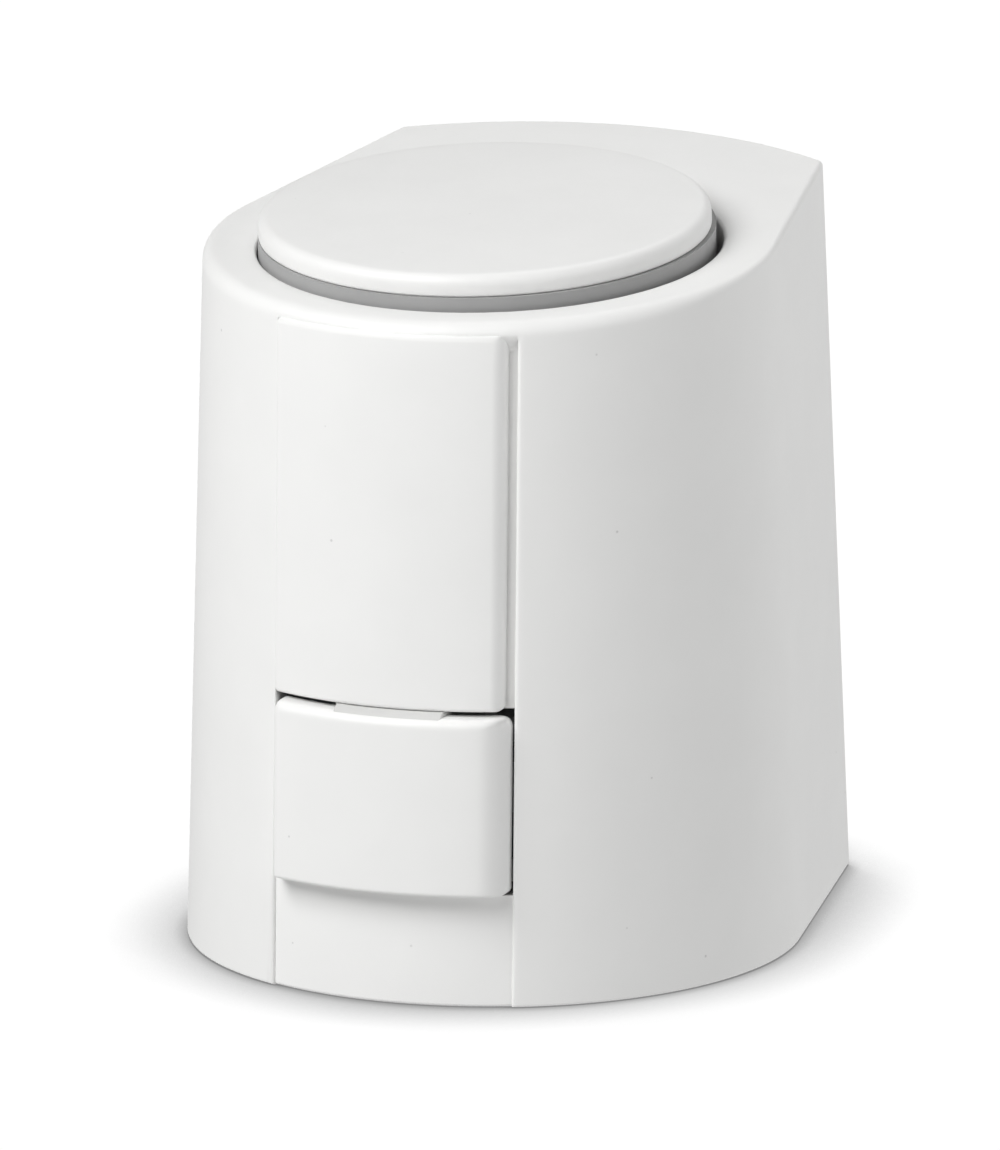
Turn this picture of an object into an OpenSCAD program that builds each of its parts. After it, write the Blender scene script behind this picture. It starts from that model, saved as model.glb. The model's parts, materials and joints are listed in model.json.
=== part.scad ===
// Clip-on valve actuator head: a wax cartridge lifts a spring-loaded yoke,
// and a round indicator cap in the sloping top shows how far the valve is open.
// Millimetres. +Z is up, the front with the release button faces -Y, and the
// origin is on the stem axis in the plane of the foot.

/* [Housing] */
// Width of the housing at its foot, twice the radius of its round front
body_w = 44.3; // [43.8:0.1:46]
// Distance from the stem axis back to the centre of the round front
front_centre_y = 0.8; // [0.6:0.1:1.2]
// Radius of the rear wall about the stem axis, at the foot
rear_r = 31.6; // [31.2:0.1:33]
// Angle by which each side wall closes in towards the rear
side_angle = 10.8; // [9:0.2:12]
// Height of the sloping top face above the foot, on the stem axis
top_z = 50.8; // [50.6:0.1:52]
// Slope of the top face and of the indicator, falling towards the front
top_slope = 3.8; // [2:0.1:5]
// Draft of the walls, in millimetres per millimetre of height
draft = 0.031; // [0.02:0.001:0.034]
// Wall thickness
wall = 1.9; // [1.6:0.1:2]
// Rounding of the top rim and of the two rear corners
rim_r = 1.0; // [0.6:0.1:1.2]

/* [Front strip and release button] */
// Half width of the slot that runs down the front of the housing
slot_half = 9.1; // [8.8:0.1:9.4]
// Width of the groove on each side of the upper strip
slot_gap = 0.55; // [0.4:0.05:0.7]
// Depth of the bed that the upper strip lies in
bed_depth = 0.8; // [0.7:0.05:0.9]
// Height of the lower end of the upper strip
strip_z = 21.8; // [21.6:0.1:22.4]
// How far the upper strip stands proud of the housing
strip_proud = 0.25; // [0.1:0.05:0.4]
// Height of the lower end of the button
button_z = 8.0; // [7.8:0.1:8.4]
// Height of the upper end of the button
button_top = 21.1; // [20.6:0.1:21.2]
// How far the button stands proud of the housing
button_proud = 1.3; // [0.8:0.1:1.6]
// Travel of the button and the locking slide
button_travel = 1.6; // [1.2:0.1:1.7]

/* [Indicator] */
// Radius of the round hole in the top of the housing
hole_r = 16.9; // [16.8:0.05:17.1]
// Radius of the indicator cap
cap_r = 16.4; // [16:0.1:16.5]
// Thickness of the cap at its rim
cap_t = 1.6; // [1.3:0.1:1.8]
// Height of the cap's underside above the top face, as it stands at rest
cap_lift = 1.2; // [1:0.1:1.6]
// Radius of the grey sleeve under the cap
sleeve_r = 16.1; // [15.8:0.1:16.2]
// Wall thickness of the sleeve
sleeve_wall = 1.3; // [1:0.1:1.5]

/* [Lift mechanism] */
// How far the lifter goes down from rest
stroke_down = 2.7; // [2.5:0.1:2.7]
// How far the lifter goes up from rest
stroke_up = 1.8; // [1.5:0.1:1.8]
// Height of the pressure foot's face at rest
foot_z = 13.7; // [13.6:0.1:14]
// Radius of the lifter's tube
tube_r = 9.0; // [8.8:0.1:9.2]
// Running clearance between the lifter's tube and its guide bush
bush_clearance = 0.05; // [0.03:0.01:0.08]
// Radius of the closing spring, to the middle of its wire
spring_r = 12.4; // [12.2:0.1:12.5]
// Wire diameter of the closing spring
spring_wire = 1.7; // [1.4:0.1:1.8]
// Turns of the closing spring
spring_turns = 5; // [4:1:6]
// Radius of the wax cartridge
cartridge_r = 6.1; // [5.8:0.1:6.2]
// Radius of the cartridge's piston
piston_r = 1.75; // [1.5:0.05:2]

/* [Valve adapter] */
// Wall radius of the M30 x 1.5 threaded hole, at the thread's crest
thread_r = 14.19; // [14.15:0.01:14.25]
// Length of the threaded hole
thread_len = 7.2; // [7:0.1:7.4]
// Outer radius of the adapter
adapter_r = 16.4; // [16.2:0.1:16.5]
// Height of the adapter
adapter_h = 13.0; // [12.6:0.1:13]
// Depth of the groove that the locking slide enters
groove_depth = 1.2; // [1:0.1:1.3]

/* [Cable socket] */
// Width of the plug recess
socket_w = 10.0; // [9:0.5:11]
// Height of the plug recess
socket_h = 6.0; // [5:0.5:6.5]
// Number of contact pins
pin_count = 3; // [2:1:3]

/* [Hidden] */

$fn = 96;
eps = 0.02;
gap = 0.3;             // between pieces that move past each other
seam = 0.1;            // between pieces that are fixed side by side
arc_steps = 40;        // facets of the round front
rear_steps = 12;       // facets of the rear wall
top_skin = 2.2;        // thickness of the top face
base_z = 0.8;          // underside of the base plate
base_t = 1.8;
slide_z = 8.6;         // underside of the locking slide
slide_t = 1.6;
slide_rest = 1.2;      // offset of the slide's ring at rest, which puts its rear edge in the groove
slide_back_y = 18.0;
skin_depth = 0.6;      // thickness of the button behind the surface of the housing
tongue_half = 4.25;
peg_r = 1.2;
ring_r = adapter_r + gap;
deck_z = adapter_h + gap;
deck_t = 2.0;
deck_top = deck_z + deck_t;
deck_hole_r = 10.9;
neck_hole_r = 11.2;
seal_r = 14.5;
seal_t = 1.2;
yoke_z = foot_z + 1.5;
yoke_t = 1.8;
leg_in = 6.4;
leg_out = 9.4;
leg_half = 3.2;
bridge_z = yoke_z + yoke_t + stroke_up + 0.4;
bridge_t = 2.2;
bridge_half = 5.5;
bridge_x = 16.9;
bridge_top = bridge_z + bridge_t;
flange_z = bridge_top + stroke_down + 0.4;
flange_t = 1.8;
flange_r = 13.9;
flange_top = flange_z + flange_t;
plate_z = 41.0;
plate_t = 1.6;
plate_top = plate_z + plate_t;
tube_wall = 1.3;
tube_top = 47.0;
bush_wall = 1.5;
pillar_r = 1.9;
front_pillar = [11.0, -11.9];
rear_pillar = [9.3, 13.3];
screw_r = 0.95;
screw_head_r = 1.7;
heater_r = 5.2;
heater_t = 1.8;
heater_z = bridge_top;
cartridge_z = heater_z + heater_t + 0.4;
cartridge_h = 12.8;
neck_r = 4.2;
neck_top = cartridge_z + cartridge_h + 4.2;
board_y = 20.2;
board_t = 1.4;
board_half = 10.5;
board_z = deck_top + 0.2;
board_h = 22.0;
socket_z = 5.0;
socket_back_y = 30.9;
socket_front_y = 20.4;
socket_floor_y = 23.4;
socket_wall = 1.4;
socket_top = socket_z + socket_h + socket_wall;
pin_y = socket_front_y + 0.6;
spring_lug_x = 9.4;
base_post = [14.3, 18.6];
base_post_r = 2.4;
bridge_post_x = 15.3;
latch_spring_r = 1.45;
latch_wire = 0.45;
latch_y0 = 18.3;
latch_y1 = 23.6;
lead_r = 0.5;
lead_y = 22.6;

white = [0.90, 0.90, 0.89];
light_grey = [0.74, 0.74, 0.73];
mid_grey = [0.60, 0.60, 0.60];
dark_grey = [0.28, 0.28, 0.30];
steel = [0.66, 0.67, 0.69];
brass = [0.80, 0.66, 0.34];

// Radius of the round front at a height
function front_radius(z) = body_w / 2 - draft * z;

// Radius of the rear wall at a height
function rear_radius(z) = rear_r - draft * z;

// Plan outline of the housing at a height, moved inwards by inset: a round
// front, two straight sides that are tangent to it, and a rear arc
function outline(z, inset) =
    let (r = front_radius(z) - inset,
         q = rear_radius(z) - inset,
         px = r * cos(side_angle),
         py = front_centre_y + r * sin(side_angle),
         b = front_centre_y * cos(side_angle),
         s = sqrt(b * b - px * px - py * py + q * q) - b,
         corner = atan2(py + s * cos(side_angle), px - s * sin(side_angle)),
         sweep = 180 + 2 * side_angle)
    concat([for (i = [0:arc_steps]) let (t = 180 - side_angle + i * sweep / arc_steps)
                [r * cos(t), front_centre_y + r * sin(t)]],
           [for (i = [0:rear_steps]) let (t = corner + i * (180 - 2 * corner) / rear_steps)
                [q * cos(t), q * sin(t)]]);

// The outline with its two rear corners rounded
module plan(z, inset) {
    offset(r = rim_r, $fn = 32)
        polygon(outline(z, inset + rim_r));
}

// Thin slice of the outline at a height
module slice(z, inset) {
    translate([0, 0, z])
        linear_extrude(eps)
            plan(z, inset);
}

// The same slice lying in the sloping top face, drop below it
module top_slice(inset, drop) {
    translate([0, 0, top_z - drop])
        rotate([top_slope, 0, 0])
            translate([0, 0, -eps])
                linear_extrude(eps)
                    plan(top_z, inset);
}

// Prism of the outline with vertical walls that fit inside the housing
module inner_prism(z, h, clearance = seam) {
    translate([0, 0, z])
        linear_extrude(h)
            polygon(outline(z + h, wall + clearance));
}

// Ring between two radii
module ring(r_out, r_in, z, h) {
    translate([0, 0, z])
        difference() {
            cylinder(r = r_out, h = h);
            translate([0, 0, -1])
                cylinder(r = r_in, h = h + 2);
        }
}

// Part of the drafted front skin, from depth_in inside to depth_out outside it
module front_skin(z0, z1, depth_in, depth_out, half) {
    intersection() {
        translate([0, front_centre_y, z0])
            difference() {
                cylinder(r1 = front_radius(z0) + depth_out, r2 = front_radius(z1) + depth_out, h = z1 - z0);
                translate([0, 0, -eps])
                    cylinder(r1 = front_radius(z0) - depth_in, r2 = front_radius(z1) - depth_in,
                             h = z1 - z0 + 2 * eps);
            }
        translate([-half, -body_w, z0 - 1])
            cube([2 * half, body_w, z1 - z0 + 2]);
    }
}

// Round tube swept through a list of points; ref is a direction that no
// stretch of the route runs along
module tube(points, r, ref = [0, 0, 1], sides = 8) {
    last = len(points) - 1;
    rings = [for (i = [0:last])
        let (t = points[min(i + 1, last)] - points[max(i - 1, 0)],
             u = cross(t, ref) / norm(cross(t, ref)),
             v = cross(u, t) / norm(t))
        for (k = [0:sides - 1])
            points[i] + r * (cos(360 * k / sides) * u + sin(360 * k / sides) * v)];
    walls = [for (i = [0:last - 1], k = [0:sides - 1])
        let (n = (k + 1) % sides, a = i * sides, b = a + sides)
            each [[a + k, b + k, a + n], [a + n, b + k, b + n]]];
    first_cap = [[for (k = [0:sides - 1]) k]];
    last_cap = [[for (k = [sides - 1:-1:0]) last * sides + k]];
    polyhedron(rings, concat(walls, first_cap, last_cap));
}

// Helical spring of round wire standing on z = 0, with one closed turn at
// each end
module coil(r, wire, height, turns, steps = 16) {
    closed = 0.75;
    rise = height - 3 * wire;
    function level(n) =
        n < closed ? wire * n / closed
        : n > turns - closed ? height - wire - wire * (turns - n) / closed
        : wire + rise * (n - closed) / (turns - 2 * closed);
    tube([for (i = [0:turns * steps]) let (n = i / steps)
             [r * cos(360 * n), r * sin(360 * n), wire / 2 + level(n)]], wire / 2);
}

// The places of the four pillars of the frame
module at_pillars() {
    for (side = [-1, 1], p = [front_pillar, rear_pillar])
        translate([side * p[0], p[1], 0])
            children();
}

// White outer shell: drafted walls, a sloping top with a round hole, a slot
// down the front and a window for the cable socket at the lower rear
module housing() {
    color(white)
    difference() {
        union() {
            difference() {
                hull() {
                    slice(0, 0);
                    top_slice(0, rim_r);
                    top_slice(0.3 * rim_r, 0.3 * rim_r);
                    top_slice(rim_r, 0);
                }
                hull() {
                    translate([0, 0, -1])
                        slice(0, wall);
                    top_slice(wall, top_skin);
                }
            }
            intersection() {
                ring(hole_r + 1.2, hole_r, plate_top + 0.6, top_z);
                hull() {
                    slice(0, 1);
                    top_slice(1.5 * rim_r, 0.5 * rim_r);
                }
            }
        }
        translate([0, 0, plate_top + 0.6])
            cylinder(r = hole_r, h = top_z);
        // slot: a window at the button, a shallow bed under the upper strip
        front_skin(-1, strip_z + 3, wall + 3, 3, slot_half);
        front_skin(strip_z + 3, 48.8, bed_depth, 3, slot_half);
        pegs(peg_r + 0.05, 2.4);
        // window for the cable socket
        translate([-socket_w / 2 - socket_wall - seam, 20, socket_z - socket_wall - seam])
            cube([socket_w + 2 * (socket_wall + seam), 20, socket_h + 2 * (socket_wall + seam)]);
    }
}

// Two pegs behind the upper strip
module pegs(r, h) {
    for (z = [29, 39])
        translate([0, -20.2, z])
            rotate([-90, 0, 0])
                cylinder(r = r, h = h);
}

// Upper strip in the front slot, thinner where the slide's tongue passes
module front_strip() {
    color(white)
    difference() {
        union() {
            front_skin(strip_z, 48.7, bed_depth - seam, strip_proud, slot_half - slot_gap);
            pegs(peg_r, 1.9);
        }
        front_skin(strip_z - 1, strip_z + 2.2, bed_depth + 1, -0.3, tongue_half + 0.6);
    }
}

// Lower end of the slot, closed by a strip that stands on the base plate
module front_foot() {
    color(white)
    union() {
        front_skin(0, button_z - 0.4, wall - 0.3, 0, slot_half - 0.25);
        front_skin(base_z + base_t, base_z + base_t + 2, wall + 1.6, 0, slot_half - 1);
    }
}

// Release button with rounded edges, and two prongs that lie on the slide
module release_button() {
    half = slot_half - gap;
    color(white)
    union() {
        front_skin(button_z + 0.5, button_top - 0.5, skin_depth, button_proud, half);
        front_skin(button_z, button_top, skin_depth, button_proud - 0.5, half);
        difference() {
            front_skin(button_z, button_top, skin_depth + 1.1, 0, half);
            translate([-half + 1, -30, button_z - 1])
                cube([2 * half - 2, 30, 30]);
        }
        for (x = [-6, 4.5])
            translate([x, -20.7, slide_z + slide_t + 0.05])
                cube([1.5, 2.3, 1.7]);
    }
}

// Light grey locking slide: a ring whose rear edge lies in the adapter's
// groove, with a tongue up behind the button and two lugs for its springs
module locking_slide() {
    block_r = front_radius(slide_z + slide_t) - skin_depth - 0.15;
    color(light_grey)
    union() {
        difference() {
            union() {
                intersection() {
                    translate([0, 0, slide_z])
                        cylinder(r = 19.2, h = slide_t);
                    translate([0, front_centre_y, slide_z])
                        cylinder(r = 19.5, h = slide_t);
                }
                intersection() {
                    translate([0, front_centre_y, slide_z])
                        cylinder(r = block_r, h = slide_t);
                    translate([-7.1, -25, slide_z])
                        cube([14.2, 12.5, slide_t]);
                }
            }
            for (shift = [0, button_travel - slide_rest])
                translate([0, -slide_rest - shift, slide_z - 1])
                    cylinder(r = ring_r, h = slide_t + 2);
            translate([-20, slide_back_y, slide_z - 1])
                cube([40, 10, slide_t + 2]);
        }
        front_skin(slide_z + slide_t - eps, strip_z + 1.4, skin_depth + 0.9, -skin_depth - 0.05, tongue_half);
        for (side = [-1, 1])
            translate([side * spring_lug_x - 2, 15.2, slide_z - 0.9])
                cube([4, latch_y0 - 15.2, slide_t + 1.8]);
    }
}

// Two small springs that push the slide and the button out
module latch_springs() {
    color(steel)
    for (side = [-1, 1])
        translate([side * spring_lug_x, latch_y0, slide_z + slide_t / 2])
            rotate([-90, 0, 0])
                coil(latch_spring_r, latch_wire, latch_y1 - latch_y0, 7, 10);
}

// Base plate that closes the mouth of the housing around the adapter
module base_plate() {
    color(light_grey)
    difference() {
        inner_prism(base_z, base_t);
        translate([0, 0, base_z - 1])
            cylinder(r = adapter_r + 0.35, h = base_t + 2);
        at_base_posts()
            translate([0, 0, base_z - 1]) {
                cylinder(r = screw_r + 0.05, h = 20);
                cylinder(r = screw_head_r + 0.1, h = 2);
            }
    }
}

// The places of the two posts that the base screws pass through
module at_base_posts() {
    for (side = [-1, 1])
        translate([side * base_post[0], base_post[1], 0])
            children();
}

// Posts on the base plate: two for its screws, two behind the latch springs
module base_posts() {
    color(light_grey)
    union() {
        at_base_posts()
            ring(base_post_r, screw_r + 0.05, base_z + base_t, deck_z - base_z - base_t);
        for (side = [-1, 1])
            translate([side * spring_lug_x - 2, latch_y1, base_z + base_t])
                cube([4, 1.6, 8.2]);
    }
}

// Deck of the frame, which stops the adapter
module frame_deck() {
    color(mid_grey)
    difference() {
        inner_prism(deck_z, deck_t);
        translate([-slot_half - 0.5, -30, deck_z - 1])
            cube([2 * slot_half + 1, 30 - 15.6, deck_t + 2]);
        translate([0, 0, deck_z - 1])
            cylinder(r = deck_hole_r, h = deck_t + 2);
        at_base_posts()
            translate([0, 0, deck_z - 1])
                cylinder(r = screw_r, h = deck_t + 2);
        translate([-5, lead_y - 0.9, deck_z - 1])
            cube([10, 1.8, deck_t + 2]);
    }
}

// Posts on the deck: four pillars under the spring plate, two under the bridge
module frame_posts() {
    color(mid_grey)
    union() {
        at_pillars()
            difference() {
                translate([0, 0, deck_top])
                    cylinder(r = pillar_r, h = plate_z - deck_top);
                translate([0, 0, plate_z - 8])
                    cylinder(r = screw_r, h = 9);
            }
        for (side = [-1, 1])
            difference() {
                translate([side * bridge_post_x - 1.6, -3.6, deck_top])
                    cube([3.2, 7.2, bridge_z - deck_top]);
                translate([side * bridge_post_x, -1.6, bridge_z - 3.2])
                    cylinder(r = screw_r, h = 4);
            }
    }
}

// Two clips that hold the circuit board
module board_clips() {
    color(mid_grey)
    difference() {
        for (side = [-1, 1])
            translate([side * (board_half - 0.3) - 1.3, board_y - 1.4, deck_top])
                cube([2.6, board_t + 2.8, 7]);
        translate([-board_half - 0.1, board_y - 0.1, board_z])
            cube([2 * board_half + 0.2, board_t + 0.2, 10]);
    }
}

// Bridge across the yoke that carries the cartridge
module cartridge_bridge() {
    color(mid_grey)
    difference() {
        translate([-bridge_x, -bridge_half, bridge_z])
            cube([2 * bridge_x, 2 * bridge_half, bridge_t]);
        for (side = [-1, 1]) {
            translate([side * bridge_post_x, -1.6, bridge_z - 1])
                cylinder(r = screw_r + 0.05, h = bridge_t + 2);
            translate([side * bridge_post_x, -1.6, bridge_top - 0.8])
                cylinder(r = screw_head_r + 0.1, h = 2);
        }
        translate([-bridge_x - 1, 1.5, bridge_top - 0.5])
            cube([2 * bridge_x + 2, 2.6, 2]);
    }
}

// Plate that takes the load of the closing spring
module spring_plate() {
    color(steel)
    difference() {
        intersection() {
            translate([0, 0, plate_z])
                cylinder(r = 18.2, h = plate_t);
            translate([0, front_centre_y, plate_z])
                cylinder(r = front_radius(plate_top) - wall - 0.2, h = plate_t);
        }
        translate([0, 0, plate_z - 1])
            cylinder(r = tube_r + bush_wall + bush_clearance + 0.05, h = plate_t + 2);
        at_pillars() {
            translate([0, 0, plate_z - 1])
                cylinder(r = screw_r + 0.05, h = plate_t + 2);
            translate([0, 0, plate_top - 0.8])
                cylinder(r = screw_head_r + 0.1, h = 2);
        }
    }
}

// Bush that guides the lifter's tube
module guide_bush() {
    r_in = tube_r + bush_clearance;
    color("ivory")
    union() {
        ring(r_in + bush_wall, r_in, plate_z - 2.4, plate_t + 2.4);
        ring(r_in + bush_wall + 0.7, r_in, plate_z - 2.4, 2.4);
    }
}

// One small countersunk screw with its head's top at z
module screw(z, length) {
    translate([0, 0, z - length])
        cylinder(r = screw_r - 0.02, h = length - 0.7);
    difference() {
        translate([0, 0, z - 0.75])
            cylinder(r = screw_head_r, h = 0.7);
        for (turn = [0, 90])
            rotate([0, 0, turn])
                translate([-1, -0.2, z - 0.4])
                    cube([2, 0.4, 1]);
    }
}

// Screws that hold the spring plate and the bridge
module frame_screws() {
    color(steel)
    union() {
        at_pillars()
            screw(plate_top, 8);
        for (side = [-1, 1])
            translate([side * bridge_post_x, -1.6, 0])
                screw(bridge_top, 4.6);
    }
}

// Screws that hold the base plate, put in from below
module base_screws() {
    color(steel)
    at_base_posts()
        mirror([0, 0, 1])
            screw(-base_z - 0.2, 13.5);
}

// Tube of the lifter, closed at its top, where the piston pushes
module lifter_tube() {
    color(light_grey)
    union() {
        difference() {
            translate([0, 0, flange_z])
                cylinder(r = tube_r, h = tube_top - flange_z);
            translate([0, 0, flange_z - 1])
                cylinder(r = tube_r - tube_wall, h = tube_top - 1.6 - flange_z + 1);
        }
        translate([0, 0, tube_top - 2.8])
            cylinder(r = 3, h = 1.3);
    }
}

// Flange on the tube that the closing spring stands on
module spring_flange() {
    color(light_grey)
    union() {
        ring(flange_r, tube_r, flange_z, flange_t);
        ring(flange_r, flange_r - 0.6 + eps, flange_top - eps, 0.5);
    }
}

// Yoke below the tube, whose legs pass on either side of the bridge
module lift_yoke() {
    color(light_grey)
    difference() {
        union() {
            for (side = [-1, 1])
                translate([-leg_half, side < 0 ? -leg_out : leg_in, yoke_z])
                    cube([2 * leg_half, leg_out - leg_in, flange_z - yoke_z]);
            translate([-leg_half, -leg_out, yoke_z])
                cube([2 * leg_half, 2 * leg_out, yoke_t]);
        }
        translate([0, 0, yoke_z + yoke_t])
            cylinder(r = tube_r - tube_wall, h = flange_z - yoke_z);
        translate([0, 0, yoke_z - 1])
            cylinder(r = 2.1, h = yoke_t + 2);
    }
}

// Foot that presses on the valve stem, with a spigot held in the yoke
module pressure_foot() {
    color(dark_grey)
    union() {
        translate([0, 0, foot_z])
            cylinder(r = 6, h = yoke_z - foot_z);
        translate([0, 0, yoke_z - eps])
            cylinder(r = 2.05, h = yoke_t);
    }
}

// Closing spring between the lifter's flange and the spring plate
module closing_spring() {
    color(steel)
    translate([0, 0, flange_top])
        coil(spring_r, spring_wire, plate_z - flange_top, spring_turns);
}

// White indicator cap, parallel with the top face
module indicator_cap() {
    color(white)
    union() {
        translate([0, 0, top_z + cap_lift])
            rotate([top_slope, 0, 0])
                rotate_extrude()
                    polygon([[0, 0], [cap_r - 0.15, 0], [cap_r, 0.15], [cap_r, cap_t - 0.8],
                             [cap_r - 0.12, cap_t - 0.4], [cap_r - 0.4, cap_t - 0.12],
                             [cap_r - 0.8, cap_t], [cap_r / 2, cap_t + 0.2], [0, cap_t + 0.25]]);
        translate([0, 0, tube_top])
            cylinder(r = 5, h = top_z + cap_lift + 0.5 - tube_top);
    }
}

// Grey sleeve that shows under the cap as it rises
module indicator_sleeve() {
    low = top_z - 4.8;
    color(mid_grey)
    difference() {
        translate([0, 0, low])
            cylinder(r = sleeve_r, h = top_z + 4 - low);
        translate([0, 0, low - 1])
            cylinder(r = sleeve_r - sleeve_wall, h = 12);
        translate([0, 0, top_z + cap_lift])
            rotate([top_slope, 0, 0])
                translate([-30, -30, 0])
                    cube([60, 60, 20]);
    }
}

// Wax cartridge: a metal cup with a crimped neck that guides the piston
module wax_cartridge() {
    color(brass)
    difference() {
        union() {
            translate([0, 0, cartridge_z])
                cylinder(r = cartridge_r - 0.5, h = cartridge_h - 2);
            translate([0, 0, cartridge_z + cartridge_h - 3])
                cylinder(r = cartridge_r, h = 3);
            translate([0, 0, cartridge_z + cartridge_h - eps])
                cylinder(r1 = cartridge_r - 0.8, r2 = neck_r, h = 1.2 + eps);
            translate([0, 0, cartridge_z + cartridge_h])
                cylinder(r = neck_r, h = neck_top - cartridge_z - cartridge_h);
        }
        translate([0, 0, cartridge_z + cartridge_h - 3])
            cylinder(r = piston_r + 0.05, h = 20);
    }
}

// Steel piston that the wax pushes out
module wax_piston() {
    color(steel)
    translate([0, 0, cartridge_z + cartridge_h + 0.2])
        cylinder(r = piston_r, h = tube_top - 2.8 - cartridge_z - cartridge_h - 0.2);
}

// Rubber wiper ring on the neck
module piston_seal() {
    color(dark_grey)
    ring(neck_r - 0.6, piston_r + 0.08, neck_top, 0.5);
}

// Insulating jacket around the cartridge and the heater
module cartridge_jacket() {
    color("ivory")
    ring(tube_r - tube_wall - 0.35, cartridge_r + 0.05, bridge_top, cartridge_z + cartridge_h - bridge_top);
}

// Ceramic heating disc under the cartridge
module heater_disc() {
    color("dimgray")
    translate([0, 0, heater_z])
        cylinder(r = heater_r, h = heater_t);
}

// Two contact strips in the groove of the bridge, and a plate on the disc
module heater_contacts() {
    color(brass)
    union() {
        for (side = [-1, 1])
            translate([side < 0 ? -bridge_x : 1, 1.7, bridge_top - 0.45])
                cube([bridge_x - 1, 2.2, 0.4]);
        translate([0, 0, heater_z + heater_t])
            cylinder(r = heater_r, h = 0.4);
    }
}

// Leads from the contact strips to the circuit board
module heater_leads() {
    color("firebrick")
    for (side = [-1, 1])
        tube([[side * 16.2, 2.2, bridge_top + lead_r], [side * 16.3, 6, bridge_top + 0.7],
              [side * 15.6, 11, bridge_top + 1], [side * 14, 15.4, bridge_top + 1.4],
              [side * 11.6, 18.2, bridge_top + 2.4], [side * 7.5, 19.4, bridge_top + 3.6],
              [side * 4, 19.5, bridge_top + 4]], lead_r);
}

// Circuit board, upright behind the mechanism
module circuit_board() {
    color("darkgreen")
    difference() {
        translate([-board_half, board_y, board_z])
            cube([2 * board_half, board_t, board_h]);
        for (x = [-6, 6])
            translate([x, board_y - 1, board_z + board_h - 3])
                rotate([-90, 0, 0])
                    cylinder(r = 1, h = board_t + 2);
    }
}

// Disc varistor on the rear of the board
module varistor() {
    color("royalblue")
    translate([5, board_y + board_t, board_z + 14])
        rotate([-90, 0, 0])
            cylinder(r = 3.6, h = 3);
}

// Glass fuse across the board, in two end caps
module fuse() {
    color("silver")
    translate([-8.5, board_y + board_t + 1.3, board_z + 5])
        rotate([0, 90, 0])
            union() {
                cylinder(r = 1, h = 10);
                cylinder(r = 1.3, h = 2.2);
                translate([0, 0, 7.8])
                    cylinder(r = 1.3, h = 2.2);
            }
}

// Film capacitor
module capacitor() {
    color("goldenrod")
    translate([-8.5, board_y + board_t, board_z + 11])
        cube([8, 3.2, 6]);
}

// Leads from the top of the socket up to the board
module supply_leads() {
    color("sienna")
    for (x = [-3, 3])
        tube([[x, lead_y - 0.2, socket_top + eps], [x, lead_y, socket_top + 1], [x, lead_y, deck_top],
              [x, lead_y - 0.1, deck_top + 1], [x, lead_y - 0.3, deck_top + 2], [x, lead_y - 0.35, deck_top + 3]],
             lead_r, [1, 0, 0]);
}

// Socket for the cable's plug, open to the rear
module cable_socket() {
    w = socket_w + 2 * socket_wall;
    h = socket_h + 2 * socket_wall;
    color(dark_grey)
    difference() {
        intersection() {
            translate([-w / 2, socket_front_y, socket_z - socket_wall])
                cube([w, 20, h]);
            cylinder(r = socket_back_y, h = 30);
        }
        translate([-socket_w / 2, socket_floor_y, socket_z])
            cube([socket_w, 20, socket_h]);
        for (i = [0:pin_count - 1])
            translate([(i - (pin_count - 1) / 2) * 3, pin_y, socket_z + socket_h / 2])
                rotate([-90, 0, 0])
                    cylinder(r = 0.5, h = 10);
    }
}

// Contact pins of the socket
module socket_pins() {
    color(brass)
    for (i = [0:pin_count - 1])
        translate([(i - (pin_count - 1) / 2) * 3, pin_y + eps, socket_z + socket_h / 2])
            rotate([-90, 0, 0])
                cylinder(r = 0.48, h = 5.6, $fn = 24);
}

// Valve adapter: threaded hole below, open bore for the foot above, and the
// groove that the locking slide enters
module valve_adapter() {
    groove_z = slide_z - gap;
    color(dark_grey)
    difference() {
        rotate_extrude()
            polygon([[thread_r, 0], [adapter_r - 0.5, 0], [adapter_r, 0.5], [adapter_r, groove_z],
                     [adapter_r - groove_depth, groove_z],
                     [adapter_r - groove_depth, groove_z + slide_t + 2 * gap],
                     [adapter_r, groove_z + slide_t + 2 * gap], [adapter_r, adapter_h - 1],
                     [adapter_r - 1, adapter_h], [neck_hole_r, adapter_h],
                     [neck_hole_r, thread_len + seal_t], [seal_r, thread_len + seal_t],
                     [seal_r, thread_len], [thread_r, thread_len]]);
        // grip flutes below the groove
        for (i = [0:23])
            rotate([0, 0, 15 * i])
                translate([adapter_r + 0.5, 0, -1])
                    cylinder(r = 0.9, h = 6, $fn = 24);
    }
}

// Rubber ring at the end of the threaded hole
module adapter_seal() {
    color("black")
    ring(seal_r - 0.05, neck_hole_r + 0.4, thread_len + 0.05, seal_t - 0.1);
}

housing();
front_strip();
front_foot();
release_button();
locking_slide();
latch_springs();
base_plate();
base_posts();
frame_deck();
frame_posts();
board_clips();
cartridge_bridge();
spring_plate();
guide_bush();
frame_screws();
base_screws();
lifter_tube();
spring_flange();
lift_yoke();
pressure_foot();
closing_spring();
indicator_cap();
indicator_sleeve();
wax_cartridge();
wax_piston();
piston_seal();
cartridge_jacket();
heater_disc();
heater_contacts();
heater_leads();
circuit_board();
varistor();
fuse();
capacitor();
supply_leads();
cable_socket();
socket_pins();
valve_adapter();
adapter_seal();
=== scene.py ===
"""Looks of a clip-on valve actuator head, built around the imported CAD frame.

Shapes are written in millimetres and become metres where their mesh is made.
+Z is up, the front with the release button faces -Y, and the origin is on the
stem axis in the plane of the foot.
"""

import json
import math

import bmesh
import bpy
from mathutils import Matrix, Vector


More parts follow.
